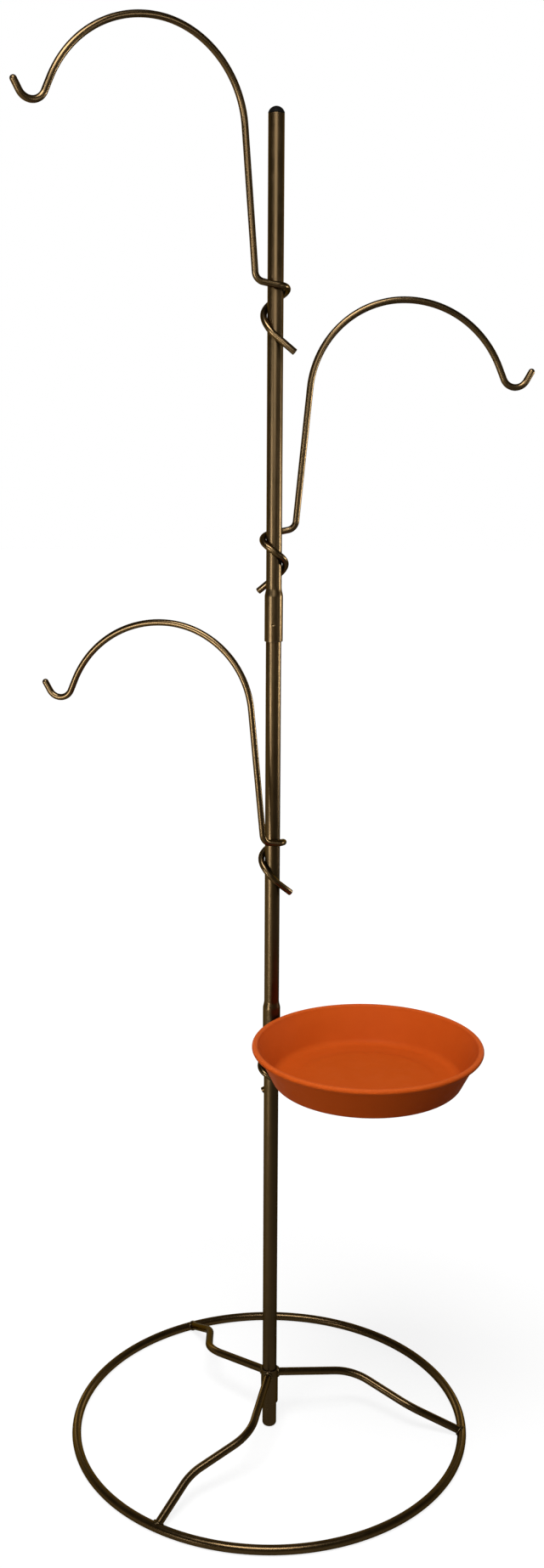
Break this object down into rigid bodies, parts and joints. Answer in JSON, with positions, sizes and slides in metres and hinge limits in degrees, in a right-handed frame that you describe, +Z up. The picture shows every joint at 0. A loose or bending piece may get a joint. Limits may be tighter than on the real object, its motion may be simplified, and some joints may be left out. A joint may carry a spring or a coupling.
{
  "type": "hanging plant stand",
  "caption": "Free-standing pole on a rod ring base, with bent rod hooks wound round it for hanging pots and a round saucer on a wound holder.",
  "frame": {"origin": "on the floor, on the axis of the pole, at the underside of its foot plug", "axes": "+Z up along the pole, +X towards the side of the middle hook and the saucer, -Y towards the viewer of the picture"},
  "size_m": [0.6058, 0.535, 1.7727],
  "materials": {
    "bronze_paint": "satin dark bronze paint with a soft mottle, darker in the bends",
    "weld": "painted weld bead, rippled and a little brighter than the rods",
    "black_plastic": "moulded, fine grain",
    "terracotta_plastic": "moulded, soft sheen, faint turning rings"
  },
  "bodies": {
    "base": {"base_ring": "bronze_paint", "leg_right": "bronze_paint", "leg_back": "bronze_paint", "leg_front": "bronze_paint", "hub_sleeve": "bronze_paint", "ring_welds": "weld", "hub_welds": "weld"},
    "lower_pole": {"pole_lower": "bronze_paint", "foot_plug": "bronze_paint"},
    "middle_pole": {"pole_middle": "bronze_paint"},
    "upper_pole": {"pole_upper": "bronze_paint", "top_cap": "black_plastic"},
    "top_hook": {"hook_top": "bronze_paint"},
    "middle_hook": {"hook_middle": "bronze_paint"},
    "lower_hook": {"hook_lower": "bronze_paint"},
    "holder": {"saucer_holder": "bronze_paint"},
    "dish": {"saucer": "terracotta_plastic"}
  },
  "joints": [
    {"name": "pole_lift", "type": "slide", "parent": "base", "child": "lower_pole", "axis": [0, 0, 1], "range_m": [0, 0.09]},
    {"name": "middle_lift", "type": "slide", "parent": "lower_pole", "child": "middle_pole", "axis": [0, 0, 1], "range_m": [0, 0.065]},
    {"name": "upper_lift", "type": "slide", "parent": "middle_pole", "child": "upper_pole", "axis": [0, 0, 1], "range_m": [0, 0.065]},
    {"name": "top_hook_swivel", "type": "hinge", "parent": "upper_pole", "child": "top_hook", "pos_m": [0, 0, 1.4985], "axis": [0, 0, 1], "continuous": true},
    {"name": "middle_hook_swivel", "type": "hinge", "parent": "upper_pole", "child": "middle_hook", "pos_m": [0, 0, 1.2125], "axis": [0, 0, 1], "continuous": true},
    {"name": "lower_hook_swivel", "type": "hinge", "parent": "middle_pole", "child": "lower_hook", "pos_m": [0, 0, 0.8295], "axis": [0, 0, 1], "continuous": true},
    {"name": "holder_swivel", "type": "hinge", "parent": "lower_pole", "child": "holder", "pos_m": [0, 0, 0.5432], "axis": [0, 0, 1], "continuous": true},
    {"name": "saucer_lift", "type": "slide", "parent": "holder", "child": "dish", "axis": [0, 0, 1], "range_m": [0, 0.12]}
  ]
}
